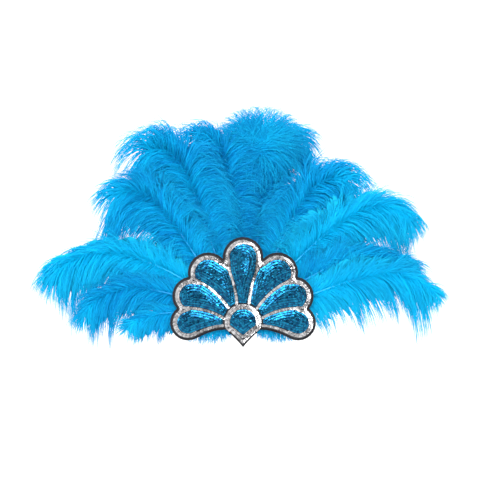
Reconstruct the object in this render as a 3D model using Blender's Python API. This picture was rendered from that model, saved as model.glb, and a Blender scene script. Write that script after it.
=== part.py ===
"""Showgirl feather headdress: a fan of ostrich plumes behind a scalloped sequin applique.

The front faces -Y and +Z is up. The origin is the middle of the headband's loop, level with
the middle of the boss. Lengths are in millimetres until a mesh is made, and then in metres.
"""

import math

import bmesh
import bpy
from mathutils import Vector
from mathutils.geometry import interpolate_bezier

MM = 0.001
CLEARANCE = 0.3

# Applique, seen from the front, with the middle of the boss at (0, 0)
LOBE_REACH = 88.0
FELT_EDGE = 1.7
RIM_WIDTH = 5.5
DIVIDER_WIDTH = 3.0
RING_REACH = 19.0
RING_WIDTH = 5.3
RING_TIP_DROP = 24.1
RING_CORNER_DEG = 111.0
RING_STRIP = 1.4
POINT_LENGTHENING = 1.98
CORNER_TURN_DEG = 1.6
FLANK_BOW = 0.9

# Thicknesses and places from the back of the headdress to the front
PAD_THICKNESS = 2.0
BAND_THICKNESS = 1.5
QUILL_DIAMETER = 2.4
FELT_THICKNESS = 2.0
SEQUIN_LAYER = 1.6
FIELD_CROWN = 0.7
FIELD_SLOPE_WIDTH = 2.4
PAD_BACK_Y = -96.0
BAND_BACK_Y = PAD_BACK_Y - PAD_THICKNESS - CLEARANCE
QUILL_BACK_Y = BAND_BACK_Y - BAND_THICKNESS - CLEARANCE
QUILL_Y = QUILL_BACK_Y - QUILL_DIAMETER / 2
FELT_BACK_Y = QUILL_BACK_Y - QUILL_DIAMETER - CLEARANCE
SEQUIN_BACK_Y = FELT_BACK_Y - FELT_THICKNESS - CLEARANCE

# Headband loop and pad
BAND_HEIGHT = 14.0
BAND_HALF_WIDTH = 76.0
BAND_BACK_REACH = 96.0
BAND_WIDEST_Y = -20.0
BAND_FLAT_HALF = 38.0
PAD_HALF_WIDTH = 36.0
PAD_TOP = 40.0
PAD_BOTTOM = -12.0
PAD_TOP_CORNER = 12.0
PAD_LOW_CORNER = 6.0

# Plumes
PLUME_REACH = 205.0
START_PULL = 0.55
TIP_PULL = 0.3
BARB_LENGTH = 46.0
ROOT_ARC = 22.0
FLAT_REACH = 44.0
VANE_START = 25.0
NECK_END = 50.0
FULL_WIDTH_AT = 84.0
NECK_HALF_WIDTH = 6.0
TAPER_FROM = 0.7
TIP_TAPER = 0.6
RANK_SLOPE = 0.065
RANK_FILL = 0.4
FRONT_RANK = 7
CURL_START = 90.0
CURL_DEPTH = 8.0
LOCK_SPACING = 24.0
NOTCH_SHARE = 0.7
SWEEP_DEG = 36.0
INNER_SWEEP = 0.5
FOLD_LIMIT = 0.75
DROOP = 9.0
TIP_REACH = 14.0
TIP_SHARE = 0.2
SLOPE_SHARE = 0.62
TURN_SPAN = 6.0

# Lobes of the felt, mirrored to the left: lean of the lobe's middle from straight up in
# degrees, and its distance from the boss and its radius as shares of LOBE_REACH
LOBES = {
    "top": {"lean": 0.0, "distance": 0.7614, "radius": 0.2386},
    "upper": {"lean": 35.2, "distance": 0.7091, "radius": 0.2386},
    "middle": {"lean": 63.0, "distance": 0.6761, "radius": 0.2273},
    "lower": {"lean": 90.5, "distance": 0.6477, "radius": 0.2091},
}

# Dividers between lobes: the angle round the boss where each ends, its bow as a share of its
# length, and where along it the petal above and the petal below leave it
DIVIDERS = {
    "top_upper": {"ring_deg": 18.5, "bow": 0.062, "above_leaves": 0.34, "below_leaves": 0.24},
    "upper_middle": {"ring_deg": 44.5, "bow": 0.08, "above_leaves": 0.14, "below_leaves": 0.3},
    "middle_lower": {"ring_deg": 77.0, "bow": 0.085, "above_leaves": 0.14, "below_leaves": 0.3},
}

# The lower edge: where it leaves the lowest lobe, and its middle point and inner corner as
# shares of LOBE_REACH
LOWER_EDGE = {"leaves_deg": 28.0, "bend": (0.348, -0.0815), "corner": (0.198, -0.0887)}

# Plumes: the quill's lean from straight up where it leaves the boss, the angle round the boss
# and the distance at which it ends, its heading there and its barbs' length, the angles in
# degrees clockwise as seen from the front and the lengths as shares of PLUME_REACH and
# BARB_LENGTH, and the rank from the back of the fan to the front
PLUMES = (
    {"lean": 1, "tip_at": 4.3, "reach": 1.02, "heading": 30, "barb": 0.95, "rank": 0},
    {"lean": 13, "tip_at": 17.5, "reach": 0.98, "heading": 105, "barb": 0.95, "rank": 1},
    {"lean": -12, "tip_at": -14.5, "reach": 0.97, "heading": -95, "barb": 0.95, "rank": 2},
    {"lean": 26, "tip_at": 38, "reach": 0.88, "heading": 130, "barb": 0.95, "rank": 3},
    {"lean": -24, "tip_at": -31, "reach": 1.0, "heading": -115, "barb": 1.0, "rank": 3},
    {"lean": 39.5, "tip_at": 59.5, "reach": 0.99, "heading": 150, "barb": 1.0, "rank": 4},
    {"lean": -37.5, "tip_at": -46, "reach": 0.91, "heading": -130, "barb": 0.95, "rank": 4},
    {"lean": 54.5, "tip_at": 72.5, "reach": 0.91, "heading": 125, "barb": 0.9, "rank": 5},
    {"lean": -52, "tip_at": -77, "reach": 0.98, "heading": -150, "barb": 0.95, "rank": 5},
    {"lean": 68, "tip_at": 82.3, "reach": 0.99, "heading": 140, "barb": 0.9, "rank": 6},
    {"lean": -66, "tip_at": -87, "reach": 0.8, "heading": -150, "barb": 0.85, "rank": 6},
    {"lean": -80, "tip_at": -91, "reach": 0.56, "heading": -120, "barb": 0.6, "rank": 7},
)

ARC_STEP_DEG = 15.0
CURVE_STEPS = 8
BAND_STEPS = 11
RACHIS_STEPS = 60


def material(name, colour, roughness, metallic):
    """One Principled material."""
    made = bpy.data.materials.new(name)
    made.use_nodes = True
    shader = made.node_tree.nodes["Principled BSDF"]
    shader.inputs["Base Color"].default_value = (*colour, 1.0)
    shader.inputs["Roughness"].default_value = roughness
    shader.inputs["Metallic"].default_value = metallic
    return made


def on_circle(centre, radius, degrees):
    """The point of a circle at an angle from straight up, clockwise."""
    turn = math.radians(degrees)
    return centre + Vector((math.sin(turn), math.cos(turn))) * radius


def angle_of(direction):
    """The angle of a direction from straight up, clockwise, in degrees."""
    return math.degrees(math.atan2(direction.x, direction.y))


def arc(centre, radius, start, end):
    """Points along an arc from one angle to another, both included."""
    steps = max(2, math.ceil(abs(end - start) / ARC_STEP_DEG))
    return [on_circle(centre, radius, start + (end - start) * k / steps) for k in range(steps + 1)]


def bowed(start, middle, end, first=0.0, last=1.0):
    """Points along a quadratic curve, from one share of it to another."""
    points = []
    for k in range(CURVE_STEPS + 1):
        t = first + (last - first) * k / CURVE_STEPS
        points.append(start * (1 - t) ** 2 + middle * (2 * t * (1 - t)) + end * t**2)
    return points


def moved_left(points, distances):
    """A line of points moved to its own left, each by its distance."""
    moved = []
    for k, point in enumerate(points):
        along = (points[min(k + 1, len(points) - 1)] - points[max(k - 1, 0)]).normalized()
        moved.append(point + Vector((-along.y, along.x)) * distances[k])
    return moved


def mirrored(points):
    """The points on the left that answer those on the right, in the other order."""
    return [Vector((-point.x, point.y)) for point in reversed(points)]


def lobe_centre(name):
    """The middle of a lobe on the right side."""
    return on_circle(Vector((0, 0)), LOBES[name]["distance"] * LOBE_REACH, LOBES[name]["lean"])


def lobe_radius(name):
    """The radius of a lobe of the felt."""
    return LOBES[name]["radius"] * LOBE_REACH


def notch(upper, lower):
    """Where the circles of two neighbouring lobes cross on the outside."""
    a, b = lobe_centre(upper), lobe_centre(lower)
    ra, rb = lobe_radius(upper), lobe_radius(lower)
    gap = (b - a).length
    along = (gap**2 + ra**2 - rb**2) / (2 * gap)
    across = math.sqrt(ra**2 - along**2)
    unit = (b - a) / gap
    return a + unit * along + Vector((-unit.y, unit.x)) * across


def lower_edge_curve():
    """The felt's lower edge on the right, from the lowest lobe to the boss."""
    start = on_circle(lobe_centre("lower"), lobe_radius("lower"), 180 + LOWER_EDGE["leaves_deg"])
    bend = Vector(LOWER_EDGE["bend"]) * LOBE_REACH
    corner = Vector(LOWER_EDGE["corner"]) * LOBE_REACH
    return bowed(start, bend, corner)


def lobe_edge(inset):
    """The outline of the right side's lobes, moved in, from the top's middle to the bottom."""
    names = list(LOBES)
    points = []
    start = 0.0
    for name, below in zip(names, names[1:] + [None]):
        centre = lobe_centre(name)
        radius = lobe_radius(name)
        corner = notch(name, below) if below else None
        end = angle_of(corner - centre) if below else 180 + LOWER_EDGE["leaves_deg"]
        points += arc(centre, radius - inset, start, end)
        if below:
            start = angle_of(corner - lobe_centre(below))
            if inset:
                points += [corner + (centre + lobe_centre(below) - corner * 2).normalized() * inset]
    return points


def felt_outline():
    """The whole felt: the lobes, the lower edges and the point below the boss."""
    right = lobe_edge(0.0) + lower_edge_curve()[1:]
    tip = Vector((0, -RING_TIP_DROP - FELT_EDGE))
    inward = (tip - right[-1]).normalized()
    flank = (right[-1] + tip) / 2 + Vector((inward.y, -inward.x)) * FLANK_BOW
    half = right + bowed(right[-1], flank, tip)[1:]
    return half[:-1] + mirrored(half[1:])


def border_outline():
    """The petal border's outer edge, closed round the top of the boss's ring."""
    reach = RING_REACH + CLEARANCE
    curve = lower_edge_curve()
    edge = [p for p in moved_left(curve, [-FELT_EDGE] * len(curve)) if p.length > reach + CLEARANCE]
    right = lobe_edge(FELT_EDGE) + edge[1:]
    end = 90 + math.degrees(math.asin(-edge[-1].y / reach))
    ring = arc(Vector((0, 0)), reach, end, -end)
    return mirrored(right)[:-1] + right + ring


def field_root(grow):
    """How far from the boss's middle a sequin field begins, grown by a margin."""
    return RING_REACH + RING_STRIP + CLEARANCE - grow


def divider_curve(upper, lower, first, grow):
    """The middle line of a divider on the right, from a share of it to a field's root."""
    row = DIVIDERS[f"{upper}_{lower}"]
    start = notch(upper, lower)
    end = on_circle(Vector((0, 0)), field_root(grow), row["ring_deg"])
    along = end - start
    bow = Vector((along.y, -along.x)) * 2 * row["bow"]
    return bowed(start, (start + end) / 2 + bow, end, first)


def tangent_angle(centre, radius, point, side):
    """The angle at which a line from a point touches a circle, on the given side."""
    away = point - centre
    spread = math.degrees(math.acos(min(1.0, radius / away.length)))
    return angle_of(away) + side * spread


def petal_outline(name, grow=0.0):
    """A sequin field on the right side, grown by a margin."""
    names = list(LOBES)
    place = names.index(name)
    centre = lobe_centre(name)
    radius = lobe_radius(name) - FELT_EDGE - RIM_WIDTH + grow
    half = DIVIDER_WIDTH / 2 - grow
    if name == "lower":
        curve = lower_edge_curve()
        last = len(curve) - 1
        rims = [RIM_WIDTH + (DIVIDER_WIDTH - RIM_WIDTH) * k / last for k in range(last + 1)]
        below = moved_left(curve, [-(FELT_EDGE + rim - grow) for rim in rims])
        below = [point for point in below if point.length > field_root(grow)][1:]
    else:
        lower = names[place + 1]
        row = DIVIDERS[f"{name}_{lower}"]
        below_line = divider_curve(name, lower, row["above_leaves"], grow)
        below = moved_left(below_line, [-half] * len(below_line))
    if name == "top":
        right = arc(centre, radius, 0, tangent_angle(centre, radius, below[0], -1)) + below
        return mirrored(right)[:-1] + right
    upper = names[place - 1]
    row = DIVIDERS[f"{upper}_{name}"]
    above_line = divider_curve(upper, name, row["below_leaves"], grow)
    above = moved_left(above_line, [half] * len(above_line))
    start = tangent_angle(centre, radius, above[0], 1)
    end = tangent_angle(centre, radius, below[0], -1) % 360
    return list(reversed(above)) + arc(centre, radius, start, end) + below


def ring_outline(inset):
    """The boss's pointed outline, moved in."""
    radius = RING_REACH - inset
    corner = RING_CORNER_DEG - CORNER_TURN_DEG * inset
    tip = Vector((0, POINT_LENGTHENING * inset - RING_TIP_DROP))
    right = arc(Vector((0, 0)), radius, 0, corner)
    inward = (tip - right[-1]).normalized()
    flank = (right[-1] + tip) / 2 + Vector((inward.y, -inward.x)) * FLANK_BOW
    half = right + bowed(right[-1], flank, tip)[1:]
    return half[:-1] + mirrored(half[1:])


def flat_piece(name, outlines, back_y, thickness, look):
    """A flat piece cut to one outline, with the other outlines as holes in it."""
    curve = bpy.data.curves.new(name, "CURVE")
    curve.dimensions = "2D"
    curve.fill_mode = "BOTH"
    curve.extrude = thickness / 2 * MM
    for outline in outlines:
        spline = curve.splines.new("POLY")
        spline.points.add(len(outline) - 1)
        for target, point in zip(spline.points, outline):
            target.co = (point.x * MM, point.y * MM, 0, 1)
        spline.use_cyclic_u = True
    piece = bpy.data.objects.new(name, curve)
    piece.location.y = (back_y - thickness / 2) * MM
    piece.rotation_euler.x = math.radians(90)
    curve.materials.append(look)
    bpy.context.collection.objects.link(piece)
    return piece


def crowned_piece(name, outline, look):
    """A sequin field: a flat back, upright sides and a raised middle."""
    shape = bmesh.new()
    corners = [shape.verts.new((p.x * MM, SEQUIN_BACK_Y * MM, p.y * MM)) for p in outline]
    back = shape.faces.new(corners)
    grown = bmesh.ops.extrude_face_region(shape, geom=[back])["geom"]
    front = next(item for item in grown if isinstance(item, bmesh.types.BMFace))
    bmesh.ops.translate(shape, verts=front.verts, vec=(0, -SEQUIN_LAYER * MM, 0))
    bmesh.ops.recalc_face_normals(shape, faces=shape.faces)
    bmesh.ops.inset_region(
        shape, faces=[front], thickness=FIELD_SLOPE_WIDTH * MM, depth=FIELD_CROWN * MM
    )
    return finished(name, shape, look)


def finished(name, shape, look):
    """An object from a bmesh, faces out."""
    bmesh.ops.recalc_face_normals(shape, faces=shape.faces)
    mesh = bpy.data.meshes.new(name)
    shape.to_mesh(mesh)
    shape.free()
    mesh.materials.append(look)
    piece = bpy.data.objects.new(name, mesh)
    bpy.context.collection.objects.link(piece)
    return piece


def ring_of_sections(name, sections, closed, look):
    """A body through sections that have the same number of points each."""
    shape = bmesh.new()
    rows = [[shape.verts.new(point * MM) for point in section] for section in sections]
    around = len(rows[0])
    spans = list(zip(rows, rows[1:] + rows[:1])) if closed else list(zip(rows, rows[1:]))
    for here, there in spans:
        for k in range(around):
            after = (k + 1) % around
            shape.faces.new((here[k], here[after], there[after], there[k]))
    if not closed:
        shape.faces.new(rows[0])
        shape.faces.new(rows[-1])
    return finished(name, shape, look)


def band_path():
    """The headband's middle line seen from above: flat in front, round the head behind."""
    middle_y = BAND_BACK_Y - BAND_THICKNESS / 2
    side = BAND_HALF_WIDTH - BAND_FLAT_HALF
    depth = BAND_WIDEST_Y - middle_y
    right = []
    for k in range(BAND_STEPS + 1):
        turn = math.radians(90 * k / BAND_STEPS)
        right.append((BAND_FLAT_HALF + side * math.sin(turn), BAND_WIDEST_Y - depth * math.cos(turn)))
    reach = BAND_BACK_REACH - BAND_THICKNESS / 2 - BAND_WIDEST_Y
    for k in range(1, BAND_STEPS):
        turn = math.radians(90 * k / BAND_STEPS)
        right.append((BAND_HALF_WIDTH * math.cos(turn), BAND_WIDEST_Y + reach * math.sin(turn)))
    back = [(0.0, BAND_WIDEST_Y + reach)]
    left = [(-x, y) for x, y in reversed(right)]
    return [Vector(point) for point in right + back + left]


def make_headband(look):
    """The elastic loop."""
    path = band_path()
    sections = []
    for k, point in enumerate(path):
        along = (path[(k + 1) % len(path)] - path[k - 1]).normalized()
        out = Vector((along.y, -along.x)) * BAND_THICKNESS / 2
        corners = ((out, 1), (out, -1), (-out, -1), (-out, 1))
        sections.append(
            [Vector((*(point + shift), up * BAND_HEIGHT / 2)) for shift, up in corners]
        )
    return ring_of_sections("headband", sections, True, look)


def make_pad(look):
    """The felt pad that closes the back."""
    side, low = PAD_HALF_WIDTH - PAD_TOP_CORNER, PAD_HALF_WIDTH - PAD_LOW_CORNER
    right = arc(Vector((side, PAD_TOP - PAD_TOP_CORNER)), PAD_TOP_CORNER, 0, 90)
    right += arc(Vector((low, PAD_BOTTOM + PAD_LOW_CORNER)), PAD_LOW_CORNER, 90, 180)
    return flat_piece("back_pad", [right + mirrored(right)], PAD_BACK_Y, PAD_THICKNESS, look)


def smooth_step(value, start, end):
    """Rises from 0 to 1 between two values."""
    share = min(1.0, max(0.0, (value - start) / (end - start)))
    return share * share * (3 - 2 * share)


def rachis(row):
    """The quill's line seen from the front: even steps of (distance along it, place)."""
    root = on_circle(Vector((0, 0)), ROOT_ARC, row["lean"])
    tip = on_circle(Vector((0, 0)), PLUME_REACH * row["reach"], row["tip_at"])
    span = (tip - root).length
    leaving = on_circle(root, span * START_PULL, row["lean"])
    arriving = on_circle(tip, -span * TIP_PULL, row["heading"])
    places = interpolate_bezier(root, leaving, arriving, tip, RACHIS_STEPS + 1)
    steps = [(0.0, places[0])]
    for here, there in zip(places, places[1:]):
        steps.append((steps[-1][0] + (there - here).length, there))
    return steps


def rachis_at(steps, distance):
    """The quill's place at a distance along it."""
    for (before, here), (after, there) in zip(steps, steps[1:]):
        if distance <= after:
            return here.lerp(there, (distance - before) / (after - before))
    return steps[-1][1]


def heading_at(steps, distance):
    """The quill's direction at a distance along it."""
    last = steps[-1][0]
    ahead = rachis_at(steps, min(last, distance + TURN_SPAN))
    behind = rachis_at(steps, max(0.0, distance - TURN_SPAN))
    return (ahead - behind).normalized()


def rank_gap(place):
    """How far apart two neighbouring ranks of plumes are from front to back at a place."""
    past = max(0.0, place.length - FLAT_REACH)
    return RANK_SLOPE * past**2 / (past + ROOT_ARC / 2)


def depth_of(row, place):
    """Where a plume's middle is from front to back at a place, which keeps the ranks apart."""
    back = (FRONT_RANK - row["rank"]) * rank_gap(place)
    curl = max(0.0, place.length - CURL_START) / (PLUME_REACH - CURL_START)
    return QUILL_Y + back - CURL_DEPTH * curl**2


def barb_reach(row, distance, length):
    """The vane's half width at a distance along the quill."""
    neck = NECK_HALF_WIDTH * smooth_step(distance, VANE_START, NECK_END)
    full = BARB_LENGTH * row["barb"] * smooth_step(distance, NECK_END, FULL_WIDTH_AT)
    taper = 1 - TIP_TAPER * smooth_step(distance, TAPER_FROM * length, length) ** 2
    return QUILL_DIAMETER / 2 + (neck + full) * taper


def vane_section(row, steps, distance, notched):
    """The eight points round a plume at a distance: two edges, two crests and the slopes."""
    length = steps[-1][0]
    place = rachis_at(steps, distance)
    along = heading_at(steps, distance)
    across = Vector((along.y, -along.x))
    before = heading_at(steps, max(0.0, distance - TURN_SPAN))
    turn = before.angle_signed(along, 0.0) / TURN_SPAN
    reach = barb_reach(row, distance, length) * (NOTCH_SHARE if notched else 1.0)
    reach = max(reach, QUILL_DIAMETER / 2)
    thick = max(QUILL_DIAMETER / 2, RANK_FILL * rank_gap(place))
    sides = []
    for side in (-1, 1):
        inner = turn * side > 0
        sweep = math.radians(SWEEP_DEG) * smooth_step(distance, VANE_START, NECK_END)
        barb = reach
        if inner:
            barb = min(reach, FOLD_LIMIT / abs(turn))
            sweep *= INNER_SWEEP
        way = across * side * math.cos(sweep) + along * math.sin(sweep)
        droop = Vector((0, -DROOP * (barb / BARB_LENGTH) ** 2))
        sides.append((place + way * barb + droop, place + way * barb / 2 + droop / 4))
    (left, left_slope), (right, right_slope) = sides
    half = thick * SLOPE_SHARE
    flat = ((left, 0), (left_slope, -half), (place, -thick), (right_slope, -half))
    flat += ((right, 0), (right_slope, half), (place, thick), (left_slope, half))
    return [Vector((point.x, depth_of(row, point) + lift, point.y)) for point, lift in flat]


def make_plume(name, row, look):
    """One plume: a bare quill, then the vane in locks out to the tip."""
    steps = rachis(row)
    length = steps[-1][0]
    sections = [vane_section(row, steps, distance, False) for distance in (0.0, VANE_START)]
    count = 2 * round((length - VANE_START) / LOCK_SPACING)
    for k in range(1, count + 1):
        distance = VANE_START + (length - VANE_START) * k / count
        sections.append(vane_section(row, steps, distance, k % 2 == 1))
    place = rachis_at(steps, length)
    tip = place + heading_at(steps, length) * TIP_REACH
    end = []
    for point in sections[-1]:
        seen = Vector((point.x, point.z))
        drawn = tip + (seen - place) * TIP_SHARE
        lift = (point.y - depth_of(row, seen)) * TIP_SHARE
        end.append(Vector((drawn.x, depth_of(row, drawn) + lift, drawn.y)))
    return ring_of_sections(name, sections + [end], False, look)


def main():
    """Builds every piece of the headdress."""
    for old in list(bpy.data.objects):
        bpy.data.objects.remove(old, do_unlink=True)
    silver = material("silver_sequins", (0.62, 0.58, 0.57), 0.25, 0.9)
    turquoise = material("turquoise_sequins", (0.0, 0.2, 0.32), 0.2, 0.85)
    felt = material("black_felt", (0.012, 0.014, 0.02), 0.95, 0.0)
    feather = material("blue_plume", (0.0, 0.3, 0.75), 0.7, 0.0)
    elastic = material("black_elastic", (0.02, 0.02, 0.022), 0.8, 0.0)

    fields = {"petal_top": petal_outline("top")}
    holes = [petal_outline("top", CLEARANCE)]
    for name in list(LOBES)[1:]:
        right = petal_outline(name)
        hole = petal_outline(name, CLEARANCE)
        fields[f"petal_{name}_right"] = right
        fields[f"petal_{name}_left"] = mirrored(right)
        holes += [hole, mirrored(hole)]
    for name, outline in fields.items():
        crowned_piece(name, outline, turquoise)
    flat_piece("petal_border", [border_outline()] + holes, SEQUIN_BACK_Y, SEQUIN_LAYER, silver)

    boss_hole = ring_outline(RING_WIDTH - CLEARANCE)
    flat_piece("boss_border", [ring_outline(0.0), boss_hole], SEQUIN_BACK_Y, SEQUIN_LAYER, silver)
    crowned_piece("boss_field", ring_outline(RING_WIDTH), turquoise)
    flat_piece("felt_backing", [felt_outline()], FELT_BACK_Y, FELT_THICKNESS, felt)
    make_pad(felt)
    make_headband(elastic)
    for number, row in enumerate(PLUMES, start=1):
        make_plume(f"plume_{number:02d}", row, feather)


main()
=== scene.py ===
# %% [markdown]
# # Showgirl feather headdress
#
# A fan of ostrich plumes stands behind a scalloped applique of cup sequins, and an elastic loop
# holds it on a head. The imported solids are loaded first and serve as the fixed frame, with the
# front towards -Y and +Z up. The sequin grounds, the felt and the pad keep their solids and get
# finishes. Real sequins are laid on the grounds, and each plume's solid gives way to a quill with
# thousands of fine strands. Lengths are in millimetres until a mesh is written.

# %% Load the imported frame
import math

import bmesh
import bpy
import numpy as np
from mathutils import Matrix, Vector
from mathutils.geometry import interpolate_bezier


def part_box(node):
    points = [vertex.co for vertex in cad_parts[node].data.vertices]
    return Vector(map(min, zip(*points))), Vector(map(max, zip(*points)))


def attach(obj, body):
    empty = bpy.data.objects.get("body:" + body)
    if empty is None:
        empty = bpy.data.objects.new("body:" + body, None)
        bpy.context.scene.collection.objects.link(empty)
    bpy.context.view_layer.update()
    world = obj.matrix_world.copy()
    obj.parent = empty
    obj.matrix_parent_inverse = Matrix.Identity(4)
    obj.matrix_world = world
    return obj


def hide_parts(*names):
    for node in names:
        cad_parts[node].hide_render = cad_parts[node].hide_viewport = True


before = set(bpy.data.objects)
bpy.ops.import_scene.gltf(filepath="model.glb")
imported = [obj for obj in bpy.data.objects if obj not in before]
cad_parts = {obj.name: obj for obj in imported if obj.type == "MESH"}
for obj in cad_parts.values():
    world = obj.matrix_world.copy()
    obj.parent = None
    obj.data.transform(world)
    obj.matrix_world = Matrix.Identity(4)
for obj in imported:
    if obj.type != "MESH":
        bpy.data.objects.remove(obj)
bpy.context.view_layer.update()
MM = 0.001
chance = np.random.default_rng(11)

# %% [markdown]
# ## Camera, backdrop and light
#
# The photograph looks straight at the front from far away, so a long lens at the height of the
# frame's middle repeats it. The backdrop is one pale sheet that curves up behind the headdress.
# A close lens would spread the plumes, and a flat floor with a wall would leave a line behind them.

# %% Place the camera
CAMERA_PLACE = (-0.0031, -1.901, 0.0849)
LENS_MM = 130.4
bpy.ops.object.camera_add(location=CAMERA_PLACE, rotation=(math.radians(90), 0, 0))
camera = bpy.context.object
camera.data.sensor_width = 36
camera.data.lens = LENS_MM
bpy.context.scene.camera = camera
bpy.context.scene.view_settings.view_transform = "Standard"
print("camera at", tuple(round(v, 3) for v in camera.location))


# %% Helpers to edit a piece as by hand
def edit(piece):
    """Opens one piece in edit mode, with nothing else selected."""
    bpy.ops.object.select_all(action="DESELECT")
    piece.select_set(True)
    bpy.context.view_layer.objects.active = piece
    bpy.ops.object.mode_set(mode="EDIT")
    bpy.ops.mesh.select_mode(type="VERT")


def select_where(piece, test):
    """Selects the vertices whose place passes a test."""
    bpy.ops.mesh.select_all(action="DESELECT")
    shape = bmesh.from_edit_mesh(piece.data)
    for vertex in shape.verts:
        vertex.select = test(vertex.co)
    shape.select_flush(True)
    bmesh.update_edit_mesh(piece.data)


def close_edit(piece):
    """Leaves edit mode and puts the object at the origin, with its place in its mesh."""
    bpy.ops.object.mode_set(mode="OBJECT")
    bpy.ops.object.transform_apply(location=True, rotation=True, scale=True)
    return piece


# %% Sweep the backdrop
FLOOR_Z = -0.19
SHEET_HALF_WIDTH = 9
SHEET_HALF_DEPTH = 4.4
WALL_HEIGHT = 4
SWEEP = 0.8
bpy.ops.object.select_all(action="DESELECT")
bpy.ops.mesh.primitive_plane_add(size=2, location=(0, -0.6, FLOOR_Z))
backdrop = bpy.context.object
backdrop.name = "backdrop"
backdrop.scale = (SHEET_HALF_WIDTH, SHEET_HALF_DEPTH, 1)
bpy.ops.object.transform_apply(location=True, rotation=False, scale=True)
edit(backdrop)
select_where(backdrop, lambda co: co.y > 1)
bpy.ops.mesh.extrude_region_move(TRANSFORM_OT_translate={"value": (0, 0, WALL_HEIGHT)})
select_where(backdrop, lambda co: co.y > 1 and co.z < 0)
bpy.ops.mesh.bevel(offset=SWEEP, segments=14, affect="EDGES")
close_edit(backdrop)
bpy.ops.object.shade_smooth()
print("backdrop:", len(backdrop.data.polygons), "faces")


# %% Hang the lamps
def area_lamp(name, place, aim, width, height, power):
    """A soft lamp that points at a place."""
    bpy.ops.object.light_add(type="AREA", location=place)
    lamp = bpy.context.object
    lamp.name = name
    lamp.data.shape = "RECTANGLE"
    lamp.data.size = width
    lamp.data.size_y = height
    lamp.data.energy = power
    lamp.rotation_mode = "QUATERNION"
    lamp.rotation_quaternion = (Vector(aim) - Vector(place)).to_track_quat("-Z", "Y")
    return lamp


FAN_MIDDLE = (0, -0.1, 0.08)
WALL_MIDDLE = (0, 3.6, 0.2)
area_lamp("long_lamp", (-0.15, -1.4, 1.15), FAN_MIDDLE, width=1.8, height=0.75, power=39)
area_lamp("left_fill", (-1.9, -0.7, 0.3), FAN_MIDDLE, width=1.2, height=1.2, power=9)
area_lamp("right_fill", (1.9, -0.7, 0.3), FAN_MIDDLE, width=1.2, height=1.2, power=9)
area_lamp("backdrop_lamp", (0, 1.2, 3.0), WALL_MIDDLE, width=2.4, height=2.4, power=150)
world = bpy.data.worlds.new("studio")
world.use_nodes = True
world.node_tree.nodes["Background"].inputs["Color"].default_value = (1, 1, 1, 1)
world.node_tree.nodes["Background"].inputs["Strength"].default_value = 0.4
bpy.context.scene.world = world


# %% [markdown]
# ## Copies from one model
#
# A plume has thousands of strands and the applique has over a thousand sequins. Each is modelled
# once, and the copies are worked out as arrays and written as one joined mesh. Linked
# copies would be lighter, but a joined mesh keeps its own points and goes through any export.


# %% Read a hand-made model and join copies of it
def points_of(mesh):
    """A mesh's points as the rows of an array."""
    points = np.zeros(len(mesh.vertices) * 3)
    mesh.vertices.foreach_get("co", points)
    return points.reshape(-1, 3)


def read_model(piece):
    """A model's points and its faces as arrays, after which the model itself is deleted."""
    mesh = piece.data
    points = points_of(mesh)
    corners = np.zeros(len(mesh.loops), int)
    mesh.loops.foreach_get("vertex_index", corners)
    starts = np.zeros(len(mesh.polygons), int)
    mesh.polygons.foreach_get("loop_start", starts)
    bpy.data.objects.remove(piece)
    bpy.data.meshes.remove(mesh)
    return points, corners, starts


def joined_copies(name, model, points, tones, along, finish):
    """One object from many copies of a model. points holds each copy's points in millimetres."""
    _, corners, starts = model
    count, each = points.shape[:2]
    mesh = bpy.data.meshes.new(name)
    mesh.vertices.add(count * each)
    mesh.loops.add(count * len(corners))
    mesh.polygons.add(count * len(starts))
    mesh.vertices.foreach_set("co", (points * MM).ravel())
    shift = np.arange(count)[:, None]
    mesh.loops.foreach_set("vertex_index", (corners + shift * each).ravel())
    mesh.polygons.foreach_set("loop_start", (starts + shift * len(corners)).ravel())
    uv = np.zeros((count, len(corners), 2))
    uv[:, :, 0] = tones[:, None]
    uv[:, :, 1] = along[corners]
    mesh.uv_layers.new(name="tone").data.foreach_set("uv", uv.ravel())
    mesh.update(calc_edges=True)
    mesh.validate()
    mesh.materials.append(finish)
    piece = bpy.data.objects.new(name, mesh)
    bpy.context.collection.objects.link(piece)
    return piece


# %% [markdown]
# ## Shared effects
#
# Dyed feather, foil and thread all vary a little from piece to piece, and felt, thread and
# elastic are all made of fibres. On the feathers the tone from piece to piece also holds painted
# light. Each effect is one node group, so that every finish takes it with its own values.


# %% Build the two node groups
def set_inputs(node, values):
    """Sets a node's inputs by their titles, in which an underscore stands for a space."""
    for title, value in values.items():
        node.inputs[title.replace("_", " ")].default_value = value
    return node


def add_node(tree, kind, **values):
    """A shader node with values on its inputs."""
    return set_inputs(tree.nodes.new("ShaderNode" + kind), values)


def uv_output(tree, name):
    """The output of one of the mesh's UV maps."""
    uv = add_node(tree, "UVMap")
    uv.uv_map = name
    return uv.outputs["UV"]


def new_group(name, inputs, outputs):
    """An empty shader node group with named sockets."""
    group = bpy.data.node_groups.new(name, "ShaderNodeTree")
    for title, kind, value in inputs:
        socket = group.interface.new_socket(title, in_out="INPUT", socket_type=kind)
        if value is not None:
            socket.default_value = value
    for title, kind in outputs:
        group.interface.new_socket(title, in_out="OUTPUT", socket_type=kind)
    return group, group.nodes.new("NodeGroupInput"), group.nodes.new("NodeGroupOutput")


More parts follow.
